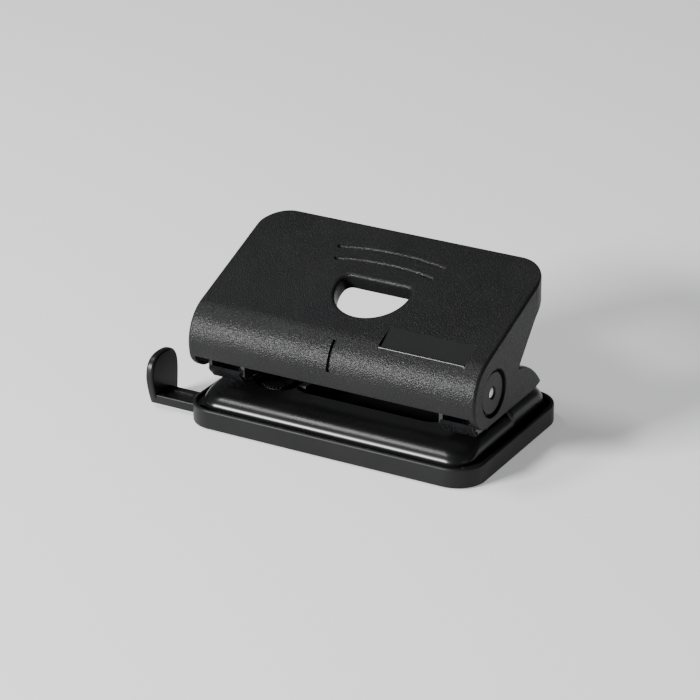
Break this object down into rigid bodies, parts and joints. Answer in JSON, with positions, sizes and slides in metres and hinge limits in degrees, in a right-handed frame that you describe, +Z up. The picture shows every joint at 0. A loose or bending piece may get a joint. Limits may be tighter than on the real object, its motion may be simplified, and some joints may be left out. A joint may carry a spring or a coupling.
{
  "type": "hole punch",
  "caption": "Two-hole desk punch with a lift-up plastic handle, a steel base on a chip tray, a sliding paper guide and a lock slider.",
  "frame": {"origin": "on the table, under the middle of the chip tray", "axes": "+X along the punch to the right, with the paper guide on the left; +Y away from the side where the paper goes in; +Z up"},
  "size_m": [0.1156, 0.0626, 0.0538],
  "materials": {
    "handle_plastic": "satin moulded, fine even grain",
    "tray_plastic": "satin moulded, fine even grain",
    "moulded_plastic": "smooth satin moulded",
    "bush_plastic": "satin moulded",
    "base_enamel": "gloss black enamel on pressed steel",
    "bracket_steel": "semi-gloss black coat on folded steel",
    "bright_steel": "bright zinc plate, lightly brushed",
    "foot_rubber": "matte"
  },
  "bodies": {
    "tray": {"chip_tray": "tray_plastic", "foot_pad_rear_left": "foot_rubber", "foot_pad_rear_right": "foot_rubber", "foot_pad_front_left": "foot_rubber", "foot_pad_front_right": "foot_rubber", "guide_detent": "bright_steel"},
    "guide": {"guide_bar": "moulded_plastic"},
    "base": {"metal_base": "base_enamel", "die_bush_left": "bright_steel", "die_bush_right": "bright_steel", "punch_bracket_left": "bracket_steel", "punch_bracket_right": "bracket_steel", "bracket_rivet_left_front": "bright_steel", "bracket_rivet_left_rear": "bright_steel", "bracket_rivet_right_front": "bright_steel", "bracket_rivet_right_rear": "bright_steel", "axle": "bright_steel", "axle_clip_left": "bright_steel", "axle_clip_right": "bright_steel", "return_spring_left": "bright_steel", "return_spring_right": "bright_steel", "lock_retainer": "bright_steel"},
    "lock": {"lock_slider": "moulded_plastic"},
    "pin_left": {"punch_pin_left": "bright_steel"},
    "pin_right": {"punch_pin_right": "bright_steel"},
    "handle": {"handle_cover": "handle_plastic", "pivot_bush_left": "bush_plastic", "pivot_bush_right": "bush_plastic", "press_lever": "bracket_steel", "lever_screw_1": "bright_steel", "lever_screw_2": "bright_steel", "lever_screw_3": "bright_steel", "lever_screw_4": "bright_steel", "latch_tongue": "bright_steel"}
  },
  "joints": [
    {"name": "guide_slide", "type": "slide", "parent": "tray", "child": "guide", "axis": [-1, 0, 0], "range_m": [0, 0.0855]},
    {"name": "base_lift", "type": "slide", "parent": "tray", "child": "base", "axis": [0, 0, 1], "range_m": [0, 0.02]},
    {"name": "handle_press", "type": "hinge", "parent": "base", "child": "handle", "pos_m": [0, -0.0153, 0.0262], "axis": [-1, 0, 0], "range_deg": [0, 21], "stiffness_Nm_per_rad": 0.5, "springref_deg": -17.19, "deforming": ["return_spring_left", "return_spring_right"]},
    {"name": "pin_left_stroke", "type": "slide", "parent": "base", "child": "pin_left", "axis": [0, 0, -1], "range_m": [0, 0.00345]},
    {"name": "pin_right_stroke", "type": "slide", "parent": "base", "child": "pin_right", "axis": [0, 0, -1], "range_m": [0, 0.00345]},
    {"name": "lock_slide", "type": "slide", "parent": "base", "child": "lock", "axis": [1, 0, 0], "range_m": [0, 0.0022]}
  ],
  "couplings": [
    {"joint": "pin_left_stroke", "follows": "handle_press", "m_per_rad": 0.009348},
    {"joint": "pin_right_stroke", "follows": "handle_press", "m_per_rad": 0.009348}
  ]
}
